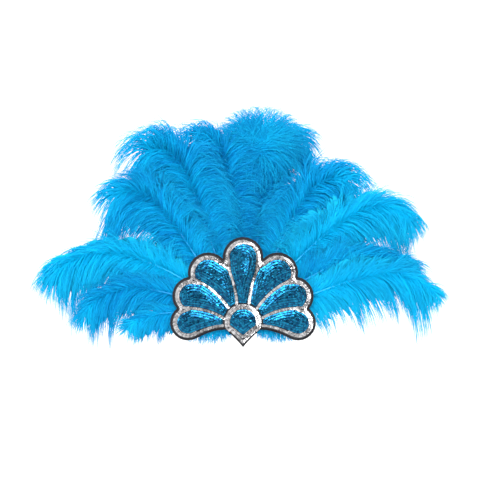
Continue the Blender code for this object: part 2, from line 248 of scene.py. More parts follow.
def piece_tones():
    """Colour that differs from piece to piece and drifts slowly over the whole."""
    wanted = [("Dark", "NodeSocketColor", None), ("Pale", "NodeSocketColor", None)]
    wanted += [("Spread", "NodeSocketFloat", 0.5), ("Drift Scale", "NodeSocketFloat", 20.0)]
    group, given, made = new_group("piece tones", wanted, [("Color", "NodeSocketColor")])
    parts = add_node(group, "SeparateXYZ")
    place = add_node(group, "TexCoord")
    drift = add_node(group, "TexNoise")
    blend = add_node(group, "Mix")
    mix = add_node(group, "Mix")
    mix.data_type = "RGBA"
    link = group.links.new
    link(uv_output(group, "tone"), parts.inputs[0])
    link(place.outputs["Object"], drift.inputs["Vector"])
    link(given.outputs["Drift Scale"], drift.inputs["Scale"])
    link(given.outputs["Spread"], blend.inputs["Factor"])
    link(drift.outputs["Fac"], blend.inputs["A"])
    link(parts.outputs["X"], blend.inputs["B"])
    link(blend.outputs["Result"], mix.inputs["Factor"])
    link(given.outputs["Dark"], mix.inputs["A"])
    link(given.outputs["Pale"], mix.inputs["B"])
    link(mix.outputs["Result"], made.inputs["Color"])
    return group


def fibre_grain():
    """Matted fibres: a height for bump and a mask for colour."""
    wanted = [("Scale", "NodeSocketFloat", 900.0), ("Stretch", "NodeSocketVector", (1, 1, 1))]
    given_out = [("Height", "NodeSocketFloat"), ("Mask", "NodeSocketFloat")]
    group, given, made = new_group("fibre grain", wanted, given_out)
    place = add_node(group, "TexCoord")
    mapping = add_node(group, "Mapping")
    fine = add_node(group, "TexNoise", Detail=4, Distortion=1.6)
    matted = add_node(group, "TexVoronoi")
    matted.feature = "DISTANCE_TO_EDGE"
    height = add_node(group, "Math")
    height.operation = "MULTIPLY_ADD"
    height.inputs[1].default_value = 0.4
    link = group.links.new
    link(place.outputs["Object"], mapping.inputs["Vector"])
    link(given.outputs["Stretch"], mapping.inputs["Scale"])
    for node in (fine, matted):
        link(mapping.outputs["Vector"], node.inputs["Vector"])
        link(given.outputs["Scale"], node.inputs["Scale"])
    link(matted.outputs["Distance"], height.inputs[0])
    link(fine.outputs["Fac"], height.inputs[2])
    link(height.outputs["Value"], made.inputs["Height"])
    link(fine.outputs["Fac"], made.inputs["Mask"])
    return group


TONES = piece_tones()
FIBRES = fibre_grain()
print("node groups:", TONES.name, "and", FIBRES.name)


# %% Helpers to build a finish
def new_finish(name, **values):
    """A material with one Principled shader, whose constants are set on its own sockets."""
    finish = bpy.data.materials.new(name)
    finish.use_nodes = True
    shader = set_inputs(finish.node_tree.nodes["Principled BSDF"], values)
    return finish, finish.node_tree, shader


def add_group(tree, group, **values):
    """A group placed in a material with its own values."""
    node = add_node(tree, "Group")
    node.node_tree = group
    return set_inputs(node, values)


def two_tones(tree, mask, dark, pale):
    """A colour mixed from a dark and a pale tone by a mask."""
    mix = add_node(tree, "Mix")
    mix.data_type = "RGBA"
    set_inputs(mix, {"A": (*dark, 1), "B": (*pale, 1)})
    tree.links.new(mask, mix.inputs["Factor"])
    return mix.outputs["Result"]


def add_bump(tree, shader, height, strength, distance):
    """A bump from a height, in metres."""
    bump = add_node(tree, "Bump", Strength=strength, Distance=distance)
    tree.links.new(height, bump.inputs["Height"])
    tree.links.new(bump.outputs["Normal"], shader.inputs["Normal"])


# %% [markdown]
# ## Feather finish
#
# Dyed ostrich is matt and soft, and its fine barbules glow where light passes through them. The
# colour is deep azure near the quill and paler at the fine tips, and every strand differs a
# little. A Hair shader could do this too, but the Principled shader exports.
# The pale tips are partly dye and partly painted light, for the light that comes through them, and each
# plume's tone is partly dye and partly painted light: painted shade on the middle plume under the
# others, and painted highlight on the plumes whose upper sides face the lamp.

# %% Dyed barbs and quill, whose colour holds painted light
# Deep at the quill and pale at the tip: partly dye, and partly painted light for the thin tips
AT_QUILL = {"Dark": (0.0, 0.14, 0.5, 1), "Pale": (0.0, 0.55, 1.0, 1)}
AT_TIP = {"Dark": (0.002, 0.26, 0.72, 1), "Pale": (0.015, 0.67, 1.0, 1)}


def feather_colour(tree):
    """Azure from deep at the quill to pale at the tip, with a tone for every plume and strand.
    Both carry painted light as well as dye: tips painted pale for light through them, and
    painted shade and painted highlight in the plumes' tones.
    """
    inner = add_group(tree, TONES, Spread=0.72, Drift_Scale=26.0, **AT_QUILL)
    outer = add_group(tree, TONES, Spread=0.72, Drift_Scale=26.0, **AT_TIP)
    parts = add_node(tree, "SeparateXYZ")
    mix = add_node(tree, "Mix")
    mix.data_type = "RGBA"
    tree.links.new(uv_output(tree, "tone"), parts.inputs[0])
    tree.links.new(parts.outputs["Y"], mix.inputs["Factor"])
    tree.links.new(inner.outputs["Color"], mix.inputs["A"])
    tree.links.new(outer.outputs["Color"], mix.inputs["B"])
    return mix.outputs["Result"]


def feather_finish():
    """Matt strands that hardly mirror anything."""
    # Its colour is dye with painted light: painted shade and painted highlight in the plumes' tones, and
    # tips painted pale for light coming through them.
    finish, tree, shader = new_finish("ostrich_dye_and_painted_light", Roughness=0.62, Specular_IOR_Level=0.05)
    tree.links.new(feather_colour(tree), shader.inputs["Base Color"])
    return finish


def vane_finish():
    """The mat behind the barbs, streaked along them by its own UV map."""
    finish, tree, shader = new_finish("ostrich_vane", Roughness=0.75, Specular_IOR_Level=0.03)
    mapping = add_node(tree, "Mapping", Scale=(150, 2.5, 1))
    streaks = add_node(tree, "TexNoise", Scale=1.0, Detail=3)
    darker = add_node(tree, "Mix")
    darker.data_type = "RGBA"
    darker.blend_type = "MULTIPLY"
    darker.inputs["Factor"].default_value = 0.5
    tree.links.new(uv_output(tree, "barbs"), mapping.inputs["Vector"])
    tree.links.new(mapping.outputs["Vector"], streaks.inputs["Vector"])
    # The feather colour carries the plumes' painted shade and painted highlight.
    tree.links.new(feather_colour(tree), darker.inputs["A"])
    tree.links.new(streaks.outputs["Fac"], darker.inputs["B"])
    tree.links.new(darker.outputs["Result"], shader.inputs["Base Color"])
    add_bump(tree, shader, streaks.outputs["Fac"], 0.6, 0.0006)
    return finish


def shaft_finish():
    """Horny shaft under dye, smoother than its barbs and lightly ridged along its length. Its colour
    carries the painted light of its plume's tone.
    """
    finish, tree, shader = new_finish("shaft_dye_and_painted_light", Roughness=0.42, Specular_IOR_Level=0.3)
    tree.links.new(feather_colour(tree), shader.inputs["Base Color"])
    grain = add_group(tree, FIBRES, Scale=600.0)
    add_bump(tree, shader, grain.outputs["Height"], 0.3, 0.0002)
    return finish


FEATHER = feather_finish()
VANE = vane_finish()
SHAFT = shaft_finish()
print("finishes:", FEATHER.name, VANE.name, SHAFT.name)

# %% [markdown]
# ## Plumes
#
# An ostrich plume is a thin quill with long limp barbs on both sides. The barbs leave the quill
# slanting forwards, curve outwards and droop, and each is fringed with finer barbules. Here each
# barb is a bunch of tapered strands that run together and part at the end. The quill lines are
# the ones of the source, so the strands fill the space of the solids that they replace.

# %% The plumes' sizes, as in the source
PLUME_REACH = 205.0
START_PULL = 0.55
TIP_PULL = 0.3
BARB_LENGTH = 46.0
ROOT_ARC = 22.0
FLAT_REACH = 44.0
VANE_START = 25.0
NECK_END = 50.0
FULL_WIDTH_AT = 84.0
RANK_SLOPE = 0.065
QUILL_Y = -101.3
FRONT_RANK = 7
CURL_START = 90.0
CURL_DEPTH = 8.0
LOCK_SPACING = 24.0

# %% The plumes' table
# The columns from lean to rank are the source's. tone goes from deep, 0, to pale, 1, and is partly
# the plume's dye and partly painted light: the middle plume, which lies under the others, is
# deepest as painted shade, and the plumes whose upper sides face the lamp are palest as painted
# highlight. head is the length of the barbs round the tip. inner is how much longer the barbs are
# inside the quill's bend, and outer how much shorter outside it. lift is how far those outside rise
# past the middle, in degrees, and fan is how far the strands of the tip part. Each but tone may be
# left out.
PLUMES = (
    {"lean": 1, "tip_at": 4.3, "reach": 1.02, "heading": 30, "barb": 0.95, "rank": 0,
     "tone": 0.0, "head": 0.75},
    {"lean": 13, "tip_at": 17.5, "reach": 0.98, "heading": 105, "barb": 0.95, "rank": 1,
     "tone": 0.3, "head": 1.3, "inner": 0.6, "outer": 0.0, "lift": 20},
    {"lean": -12, "tip_at": -14.5, "reach": 0.97, "heading": -95, "barb": 0.95, "rank": 2,
     "tone": 0.3, "head": 1.35, "outer": 0.0, "lift": 18},
    {"lean": 26, "tip_at": 38, "reach": 0.88, "heading": 130, "barb": 0.95, "rank": 3,
     "tone": 0.45, "head": 1.45, "outer": -0.2, "lift": 30, "fan": 1.2},
    {"lean": -24, "tip_at": -31, "reach": 1.0, "heading": -115, "barb": 1.0, "rank": 3,
     "tone": 0.45, "head": 1.55, "inner": 0.5, "outer": -0.25, "lift": 36, "fan": 1.2},
    {"lean": 39.5, "tip_at": 59.5, "reach": 0.99, "heading": 150, "barb": 1.0, "rank": 4,
     "tone": 0.95, "outer": 0.12},
    {"lean": -37.5, "tip_at": -46, "reach": 0.91, "heading": -130, "barb": 0.95, "rank": 4,
     "tone": 0.45, "head": 1.3, "inner": 1.0, "outer": 0.0, "lift": 14},
    {"lean": 54.5, "tip_at": 72.5, "reach": 0.91, "heading": 125, "barb": 0.9, "rank": 5,
     "tone": 0.45},
    {"lean": -52, "tip_at": -77, "reach": 0.98, "heading": -150, "barb": 0.95, "rank": 5,
     "tone": 1.0, "head": 1.15, "inner": 0.6, "outer": -0.1, "lift": 12},
    {"lean": 68, "tip_at": 82.3, "reach": 0.99, "heading": 140, "barb": 0.9, "rank": 6,
     "tone": 0.95, "inner": 0.22, "head": 0.78},
    {"lean": -66, "tip_at": -87, "reach": 0.8, "heading": -150, "barb": 0.85, "rank": 6,
     "tone": 0.4, "inner": 0.1, "head": 1.0, "fan": 0.8},
    {"lean": -80, "tip_at": -91, "reach": 0.56, "heading": -120, "barb": 0.6, "rank": 7,
     "tone": 0.45, "inner": 0.05},
)


# %% The quill's line
LINE_POINTS = 121


def polar(radius, degrees):
    """A place round the boss, clockwise from straight up."""
    turn = math.radians(degrees)
    return Vector((math.sin(turn), math.cos(turn))) * radius


def quill_line(row):
    """Points along the quill: how far along it each lies, its place and its direction."""
    root = polar(ROOT_ARC, row["lean"])
    tip = polar(PLUME_REACH * row["reach"], row["tip_at"])
    span = (tip - root).length
    leaving = root + polar(span * START_PULL, row["lean"])
    arriving = tip - polar(span * TIP_PULL, row["heading"])
    places = np.array(interpolate_bezier(root, leaving, arriving, tip, LINE_POINTS))
    steps = np.linalg.norm(np.diff(places, axis=0), axis=1)
    distances = np.concatenate([[0], np.cumsum(steps)])
    ways = np.gradient(places, distances, axis=0)
    ways /= np.linalg.norm(ways, axis=1, keepdims=True)
    return distances, places, ways


def depth(row, places):
    """Where a plume's middle lies from front to back, and how much room its rank has there."""
    out = np.linalg.norm(places, axis=-1)
    past = np.maximum(0, out - FLAT_REACH)
    gap = RANK_SLOPE * past**2 / (past + ROOT_ARC / 2)
    curl = np.maximum(0, out - CURL_START) / (PLUME_REACH - CURL_START)
    return QUILL_Y + (FRONT_RANK - row["rank"]) * gap - CURL_DEPTH * curl**2, gap


# %% [markdown]
# ## One strand
#
# A barb is a flat thread that thins to nothing. A curve with a bevel could draw each one, but
# thousands of curves are slow, so a three-sided rod with a few rings is modelled once, and its
# rings are then set along each path. A quill is the same rod with more sides and rings.

# %% Model one strand and one quill
# How far along a strand each of its rings lies
RINGS = np.array([0.0, 0.26, 0.52, 0.78, 1.0])
STRAND_STEPS = len(RINGS) - 1
QUILL_STEPS = 20


def pointed_rod(sides, steps):
    """A rod of radius 1 with a ring at every unit of its height, closed in a point."""
    bpy.ops.object.select_all(action="DESELECT")
    bpy.ops.mesh.primitive_circle_add(vertices=sides, radius=1, fill_type="NGON")
    rod = bpy.context.object
    edit(rod)
    bpy.ops.mesh.select_all(action="SELECT")
    for _ in range(steps):
        bpy.ops.mesh.extrude_region_move(TRANSFORM_OT_translate={"value": (0, 0, 1)})
    bpy.ops.mesh.merge(type="CENTER")
    bpy.ops.mesh.select_all(action="SELECT")
    bpy.ops.mesh.normals_make_consistent(inside=False)
    return read_model(close_edit(rod))


def rings_of(rod):
    """The ring that each point of a rod belongs to."""
    return np.rint(rod[0][:, 2]).astype(int)


STRAND = pointed_rod(3, STRAND_STEPS)
STRAND_TAPER = np.array([0.7, 1.0, 0.8, 0.45, 0.0])
QUILL = pointed_rod(8, QUILL_STEPS)
QUILL_TAPER = np.append(np.linspace(1.0, 0.35, QUILL_STEPS), 0.0)
print("strand:", len(STRAND[0]), "points", len(STRAND[2]), "faces; quill:", len(QUILL[2]), "faces")


# %% Draw a rod along paths
def along_paths(paths, thick, rod=STRAND, taper=STRAND_TAPER, flatness=0.4):
    """The points of a rod drawn along each path. thick is each one's half width."""
    ways = np.gradient(paths, axis=1)
    ways /= np.linalg.norm(ways, axis=2, keepdims=True) + 1e-9
    side = np.cross(ways, (0.0, 1.0, 0.0))
    side /= np.linalg.norm(side, axis=2, keepdims=True) + 1e-9
    front = np.cross(side, ways)
    rings = rings_of(rod)
    across = rod[0][:, 0][None, :, None]
    up = rod[0][:, 1][None, :, None]
    wide = (thick[:, None] * taper[rings])[:, :, None]
    spread = side[:, rings] * across + front[:, rings] * up * flatness
    return paths[:, rings] + spread * wide


def plant_rods(name, rod, points, tones, finish):
    """One smooth piece of rods, whose tone map also says how far along its rod a point is."""
    height = rod[0][:, 2]
    piece = joined_copies(name, rod, points, tones, height / height.max(), finish)
    piece.data.shade_smooth()
    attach(piece, "root")
    return piece


# %% [markdown]
# ## How barbs run
#
# A barb springs from the quill at a slant, turns outwards and sags under its own weight, longer
# inside the quill's bend than outside it. Neighbours cling together, so slow chance values move
# whole locks, and quick ones part single strands. A hair simulation could do this, but a rule is
# quick, repeats exactly and keeps the strands in the space of their solids.


# %% Chance and bending
def rise(value, start, end):
    """Goes smoothly from 0 to 1 between two values."""
    share = np.clip((value - start) / (end - start), 0, 1)
    return share * share * (3 - 2 * share)


def drift(count, reach):
    """Chance values round 0 that change slowly from one to the next."""
    window = np.hanning(2 * reach + 3)
    noise = chance.normal(0, 1, count + 2 * reach + 2)
    return np.convolve(noise, window, "valid") / np.sqrt((window**2).sum())


def bent_paths(place, heading, turn, reach, weight):
    """Paths that start at a heading, turn evenly and sag under their weight, seen from the front."""
    seen = [place]
    for before, after in zip(RINGS, RINGS[1:]):
        middle = (before + after) / 2
        angle = heading + turn * middle
        way = np.stack([np.sin(angle), np.cos(angle) - weight * middle**1.2], axis=1)
        way /= np.linalg.norm(way, axis=1, keepdims=True)
        seen.append(seen[-1] + way * (reach * (after - before))[:, None])
    return np.stack(seen, axis=1)


# %% Work out the courses of a plume's barbs
# Lengths are in millimetres and angles in degrees. QUILL_END and HEAD_START are shares of the
# quill's length, and HEAD_REACH is a share of the barbs' own.
FIRST_BARB = VANE_START * 0.7
QUILL_END = 0.95
HEAD_START = 0.8
HANGING_LEAN = 60
HANGING_FULL_AT = 40.0
NECK_SLOPE = 30.0
NECK_REACH = 18.0
ROOM_TO_DROOP = 10.0
HEAD_REACH = 0.68
LOCK_SWELL = 0.06
BARB_SLANT = 34
BARB_TURN = 34
BARB_SAG = 1.35


def head_share(on_quill, length):
    """How far along the quill's tip, from 0 to 1, a barb springs."""
    return rise(on_quill, HEAD_START * length, QUILL_END * length)


def barb_courses(row, side, on_quill, share, spread, curl, limp):
    """How barbs on one side run, seen from the front. share is each one's part of full length."""
    distances, places, ways = quill_line(row)
    length = distances[-1]
    full_at = HANGING_FULL_AT if row["lean"] * side > HANGING_LEAN else FULL_WIDTH_AT
    grown = rise(on_quill, NECK_END - NECK_SLOPE, full_at)
    reach = NECK_REACH + (BARB_LENGTH * row["barb"] + ROOM_TO_DROOP - NECK_REACH) * grown
    locks = 2 * round((length - VANE_START) / LOCK_SPACING)
    phase = (on_quill - VANE_START) / (length - VANE_START) * locks / 2
    reach *= share * (0.97 + LOCK_SWELL * np.cos(2 * np.pi * phase))
    place = np.stack([np.interp(on_quill, distances, places[:, k]) for k in (0, 1)], axis=1)
    along = np.stack([np.interp(on_quill, distances, ways[:, k]) for k in (0, 1)], axis=1)
    bend = np.gradient(np.unwrap(np.arctan2(ways[:, 0], ways[:, 1])), distances)
    bend = side * np.degrees(np.interp(on_quill, distances, bend))
    inner = rise(bend, 0, 1)
    outer = rise(-bend, 0, 1)
    head = head_share(on_quill, length)
    longer = row.get("inner", 0.32) * inner - row.get("outer", 0.25) * outer
    reach *= 1 + longer * (1 - head) + (HEAD_REACH * row.get("head", 1.0) - 1) * head
    lift = row.get("lift", 0) * outer * rise(on_quill, 0.4 * length, 0.75 * length)
    # Outside the bend barbs lie closer to the quill and turn back, and at the tip they run forwards
    first = BARB_SLANT - 12 * outer - (8 + 18 * inner) * head + spread + lift
    turn = BARB_TURN - 50 * outer + 10 * head + curl - 1.2 * lift
    heading = np.arctan2(along[:, 0], along[:, 1]) + side * np.radians(first)
    limp = limp * (1 + 0.6 * head) * (1 - 0.009 * lift)
    weight = BARB_SAG * (reach / BARB_LENGTH) ** 1.5 * limp
    return bent_paths(place, heading, side * np.radians(turn), reach, weight)


# %% [markdown]
# ## Vane
#
# Between the barbs a plume is closed by a mat of barbules too fine to model one by one. A thin
# sheet follows the courses of the barbs a little behind them, and its finish streaks it along
# them. A grid is added as a primitive, and its columns are laid along the quill.

# %% Place a vane's grid
VANE_COLUMNS = 150
VANE_ROWS = 9
VANE_THICKNESS = 0.0006
VANE_DOME = 0.42
VANE_BEHIND = 0.16


def vane_places(row, column, across):
    """The places of a vane's grid. across goes from -1 at the left edge to 1 at the right."""
    length = quill_line(row)[0][-1]
    on_quill = np.linspace(FIRST_BARB, QUILL_END * length, VANE_COLUMNS)
    points = np.zeros((len(column), 3))
    for side in (-1, 1):
        ragged = 0.6 + 0.05 * drift(VANE_COLUMNS, 2) + 0.12 * chance.uniform(-1, 1, VANE_COLUMNS)
        if side * row["lean"] < 0:
            ragged *= 1 - 0.3 * rise(on_quill, 0.5 * length, 0.8 * length)
        seen = barb_courses(row, side, on_quill, ragged, 2 * drift(VANE_COLUMNS, 8), 0, 1)
        mine = np.nonzero(across * side >= 0)[0]
        at = np.abs(across[mine]) * STRAND_STEPS
        before = np.minimum(at.astype(int), STRAND_STEPS - 1)
        blend = (at - before)[:, None]
        start, end = seen[column[mine], before], seen[column[mine], before + 1]
        place = start * (1 - blend) + end * blend
        back, gap = depth(row, place)
        back = back + gap * (VANE_DOME * (at / STRAND_STEPS) ** 2 + VANE_BEHIND)
        points[mine] = np.stack([place[:, 0], back, place[:, 1]], axis=1)
    return points


# %% Make the vane of one plume
def make_vane(name, row):
    """The mat of barbules that closes a plume, as a thin sheet along the courses of its barbs."""
    bpy.ops.object.select_all(action="DESELECT")
    bpy.ops.mesh.primitive_grid_add(
        x_subdivisions=VANE_COLUMNS - 1, y_subdivisions=VANE_ROWS - 1, size=2
    )
    vane = bpy.context.object
    vane.name = name + "_vane"
    grid = points_of(vane.data)
    column = np.rint((grid[:, 0] + 1) / 2 * (VANE_COLUMNS - 1)).astype(int)
    across = grid[:, 1]
    points = vane_places(row, column, across)
    vane.data.vertices.foreach_set("co", (points * MM).ravel())
    corners = np.zeros(len(vane.data.loops), int)
    vane.data.loops.foreach_get("vertex_index", corners)
    while vane.data.uv_layers:
        vane.data.uv_layers.remove(vane.data.uv_layers[0])
    # The tone map carries the plume's tone, with the painted light in it.
    for title, first in (("barbs", column[corners] / VANE_COLUMNS), ("tone", row["tone"])):
        flat = np.stack([first + 0 * across[corners], np.abs(across[corners])], axis=1)
        vane.data.uv_layers.new(name=title).data.foreach_set("uv", flat.ravel())
    thick = vane.modifiers.new("thickness", "SOLIDIFY")
    thick.thickness = VANE_THICKNESS
    thick.offset = 0
    bpy.ops.object.modifier_apply(modifier=thick.name)
    bpy.ops.object.shade_smooth()
    vane.data.materials.append(VANE)
    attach(vane, "root")
    return len(vane.data.polygons)


# %% [markdown]
# ## Barbs, quill, curled tip and down
#
# Every barb is a bunch of strands, and every third one stands out from its neighbours, which
# gives the combed look of the photograph. The plume in the middle curls towards the viewer, so
# its last barbs are seen end on and fall to all sides like a fountain. At the roots, short down
# hangs below the applique. Each plume could be one mesh, but barbs, vane and quill are kept apart,
# so that each takes its own finish.

# %% Run the barbs on one side of a plume
BARB_STEP = 1.2
BARB_BUNCH = 7
TOOTH_EVERY = 3
TIP_FAN = 34


def barb_paths(row, side):
    """The strands on one side of a plume as rings of points, and how near the tip each springs."""
    length = quill_line(row)[0][-1]
    barbs = np.arange(FIRST_BARB, QUILL_END * length + 4, BARB_STEP)
    count = len(barbs) * BARB_BUNCH
    # Slow values move whole locks, and loose ones part the strands of a barb
    slow = np.stack([drift(len(barbs), 7) for _ in range(3)], axis=1)
    own = np.repeat(slow + 0.4 * chance.normal(0, 1, slow.shape), BARB_BUNCH, axis=0)
    loose = chance.normal(0, 1, (count, 5))
    tooth = np.repeat(np.arange(len(barbs)) % TOOTH_EVERY == 0, BARB_BUNCH)
    loose *= np.where(tooth, 0.5, 1.2)[:, None]
    on_quill = np.repeat(barbs, BARB_BUNCH) + loose[:, 0] * 0.7
    on_quill = np.clip(on_quill, 0, QUILL_END * length)
    head = head_share(on_quill, length)
    free = 1 - head
    share = (1 + (0.05 + 0.07 * free) * own[:, 0]) * np.where(tooth, 1.15, 1.06)
    share *= 1 - (0.22 + 0.2 * free) * chance.random(count) ** 1.5
    fan = TIP_FAN * row.get("fan", 1.0) * head * chance.uniform(-0.8, 0.9, count)
    spread = (3 + 4 * free) * own[:, 1] + (2 + 2 * free) * loose[:, 1] + fan
    curl = (5 + 6 * free) * own[:, 2] + (3 + 3 * free) * loose[:, 2]
    limp = np.clip(1 + 0.18 * loose[:, 3], 0.3, 2)
    seen = barb_courses(row, side, on_quill, share, spread, curl, limp)
    seen += chance.normal(0, 0.3, (count, len(RINGS), 2)) * RINGS[None, :, None]
    aside = np.stack([np.cos(np.radians(row["lean"])), -np.sin(np.radians(row["lean"]))])
    seen -= side * aside * chance.uniform(0, 2.5, count)[:, None, None] * (1 - RINGS)[:, None]
    back, gap = depth(row, seen)
    layer = chance.uniform(-0.5, 0.2, count)[:, None] + VANE_DOME * RINGS**2
    back = back + layer * gap + loose[:, 4][:, None] * 0.5 * RINGS
    return np.stack([seen[:, :, 0], back, seen[:, :, 1]], axis=2), head


# %% Grow one plume
BARB_HALF_WIDTH = (0.3, 0.48)
QUILL_FROM = 3
QUILL_RADIUS = 1.15
QUILL_AHEAD = 0.22


def grow_barbs(name, row):
    """A plume's strands, in place of its solid."""
    left, left_head = barb_paths(row, -1)
    right, right_head = barb_paths(row, 1)
    paths = np.concatenate([left, right])
    head = np.concatenate([left_head, right_head])
    thick = chance.uniform(*BARB_HALF_WIDTH, len(paths))
    # Painted light: the plume's tone paints the middle plume deep as shade and the lit plumes pale as
    # highlight, and 0.4 * head paints the strands near the tip paler for light coming through them.
    tones = np.clip(row["tone"] + 0.4 * head + chance.uniform(-0.3, 0.3, len(paths)), 0, 1)
    points = along_paths(paths, thick)
    piece = plant_rods(name + "_barbs", STRAND, points, tones, FEATHER)
    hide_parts(name)
    return len(paths)


def grow_quill(name, row):
    """The shaft that carries the barbs, from the felt to the tip."""
    distances, places, _ = quill_line(row)
    at = np.linspace(QUILL_FROM, QUILL_END * distances[-1], QUILL_STEPS + 1)
    seen = np.stack([np.interp(at, distances, places[:, k]) for k in (0, 1)], axis=1)
    back, gap = depth(row, seen)
    path = np.stack([seen[:, 0], back - QUILL_AHEAD * gap, seen[:, 1]], axis=1)[None]
    points = along_paths(path, np.array([QUILL_RADIUS]), QUILL, QUILL_TAPER, 1.0)
    # Part of the plume's tone, with the painted light in it.
    tone = np.array([0.6 * row["tone"]])
    plant_rods(name + "_quill", QUILL, points, tone, SHAFT)


# %% Grow the middle plume's curled tip
CROWN_STRANDS = 1500
CROWN_AT = np.array([17.0, 180.0])
CROWN_ROOM = (14, 7)
CROWN_DOME = np.array([50.0, 44.0])
CROWN_REACH = 62.0
WIDEST_FALL = 135
FINE_HALF_WIDTH = (0.3, 0.45)


def grow_crown():
    """The middle plume's curled tip: its last barbs spring from one spot like a fountain."""
    count = CROWN_STRANDS
    place = CROWN_AT + chance.uniform(-1, 1, (count, 2)) * CROWN_ROOM
    from_up = np.clip(chance.normal(0, 62, count), -WIDEST_FALL, WIDEST_FALL)
    reach = CROWN_REACH * (1 - 0.45 * chance.random(count) ** 1.7)
    way = np.sign(from_up + chance.normal(0, 28, count))
    turn = way * (42 + 0.25 * np.abs(from_up)) + chance.normal(0, 7, count)
    weight = 0.45 * np.clip(1 + 0.2 * chance.normal(0, 1, count), 0.4, 2)
    seen = bent_paths(place, np.radians(from_up), np.radians(turn), reach, weight)
    away = (seen - CROWN_AT) / CROWN_DOME
    far = np.linalg.norm(away, axis=2, keepdims=True)
    seen = CROWN_AT + away * CROWN_DOME * np.minimum(1, (0.7 + 0.3 * far) / np.maximum(far, 1e-6))
    back, gap = depth(PLUMES[0], seen)
    back = back - gap * (1.1 + chance.uniform(0, 0.7, count)[:, None] + 0.6 * RINGS)
    paths = np.stack([seen[:, :, 0], back, seen[:, :, 1]], axis=2)
    thick = chance.uniform(*FINE_HALF_WIDTH, count)
    # Painted light: the curled tip is paler than its plume, for light coming through its thin strands.
    tones = 0.55 + chance.uniform(-0.3, 0.4, count)
    points = along_paths(paths, thick)
    plant_rods("plume_01_crown", STRAND, points, tones, FEATHER)
    return count


# %% Grow the down at the roots
DOWN_STRANDS = 560
DOWN_TUFTS = (
    {"side": -1, "from": 9, "to": 62, "drop": 27},
    {"side": 1, "from": 12, "to": 60, "drop": 25},
)


def grow_root_down():
    """The fluff of the lowest quills' roots, which hangs below the applique on both sides."""
    starts = []
    for tuft in DOWN_TUFTS:
        across = np.linspace(tuft["from"], tuft["to"], DOWN_STRANDS)
        shape = np.sin(np.pi * (across - tuft["from"]) / (tuft["to"] - tuft["from"])) ** 0.5
        starts.append(np.stack([tuft["side"] * across, tuft["drop"] * (0.35 + 0.65 * shape)], axis=1))
    starts = np.concatenate(starts)
    count = len(starts)
    place = np.stack([starts[:, 0] + chance.normal(0, 1.5, count), chance.uniform(-6, 2, count)], 1)
    heading = np.radians(180) - np.radians(0.5 * place[:, 0]) + chance.normal(0, 0.3, count)
    reach = (starts[:, 1] + place[:, 1]) * chance.uniform(0.6, 1.05, count)
    seen = bent_paths(place, heading, chance.normal(0, 0.35, count), reach, np.full(count, 0.3))
    back = QUILL_Y + chance.uniform(-0.8, 1.2, count)[:, None] + 0 * RINGS
    paths = np.stack([seen[:, :, 0], back, seen[:, :, 1]], axis=2)
    thick = chance.uniform(*FINE_HALF_WIDTH, count)
    points = along_paths(paths, thick)
    plant_rods("root_down", STRAND, points, chance.random(count), FEATHER)
    return count


# %% Grow them all
strand_count = grow_root_down() + grow_crown()
vane_faces = 0
for number, row in enumerate(PLUMES, start=1):
    strand_count += grow_barbs(f"plume_{number:02d}", row)
    vane_faces += make_vane(f"plume_{number:02d}", row)
    grow_quill(f"plume_{number:02d}", row)
print("vane faces:", vane_faces)
print("strands:", strand_count)

# %% [markdown]
# ## Sequins
#
# A cup sequin is a dish of foil, 3 mm wide, with facets round a flat middle and a hole for the
# thread. They are sewn in rows that follow each petal's edge, overlapping like shingles, so each
# leans a little along its row. One sequin is modelled, and the rows are worked out from the
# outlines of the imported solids, so that they sit on their grounds whatever the petals' shape.

# %% Model one cup sequin
SEQUIN_RADIUS = 1.5
CUP_DEPTH = 0.08
# From the rim down the cup's slope, over its middle to the hole, and back along the underside
CUP_STEPS = (
    {"drop": -CUP_DEPTH, "size": 0.7},
    {"drop": 0.02, "size": 0.24},
    {"drop": -0.09, "size": 4.3},
    {"drop": 0.15, "size": 1.3843},
)
bpy.ops.object.select_all(action="DESELECT")
bpy.ops.mesh.primitive_circle_add(
    vertices=8, radius=SEQUIN_RADIUS, fill_type="NOTHING", location=(0, 0, CUP_DEPTH)
)
sequin = bpy.context.object
edit(sequin)
bpy.ops.mesh.select_all(action="SELECT")
for step in CUP_STEPS:
    bpy.ops.mesh.extrude_region_move(TRANSFORM_OT_translate={"value": (0, 0, step["drop"])})
    bpy.ops.transform.resize(value=(step["size"], step["size"], 1))
bpy.ops.mesh.select_all(action="SELECT")
bpy.ops.mesh.remove_doubles(threshold=0.06)
bpy.ops.mesh.normals_make_consistent(inside=False)
close_edit(sequin)
SEQUIN = read_model(sequin)
print("sequin:", len(SEQUIN[0]), "points", len(SEQUIN[2]), "faces")


# %% Read the outline of a ground
def area(line):
    """The area inside a closed line, positive where it runs anticlockwise."""
    after = np.roll(line, -1, axis=0)
    return (line[:, 0] * after[:, 1] - line[:, 1] * after[:, 0]).sum() / 2


def outlines_of(node):
    """The closed lines round a flat solid's back face, the longest first, anticlockwise."""
    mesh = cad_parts[node].data
    points = np.array([vertex.co for vertex in mesh.vertices]) / MM
    places, index = np.unique(np.round(points, 2), axis=0, return_inverse=True)
    index = index.reshape(-1)
    flat = np.isclose(places[:, 1], places[:, 1].max(), atol=0.02)
    ways = set()
    for face in mesh.polygons:
        corners = [int(index[k]) for k in face.vertices]
        if all(flat[k] for k in corners):
            ways |= set(zip(corners, corners[1:] + corners[:1]))
    following = {a: b for a, b in ways if (b, a) not in ways}
    lines = []
    while following:
        first, here = following.popitem()
        line = [first]
        while here != first:
            line.append(here)
            here = following.pop(here)
        lines.append(places[line][:, (0, 2)])
    lines.sort(key=lambda line: -np.linalg.norm(line - np.roll(line, 1, axis=0), axis=1).sum())
    return [line if area(line) > 0 else line[::-1] for line in lines]


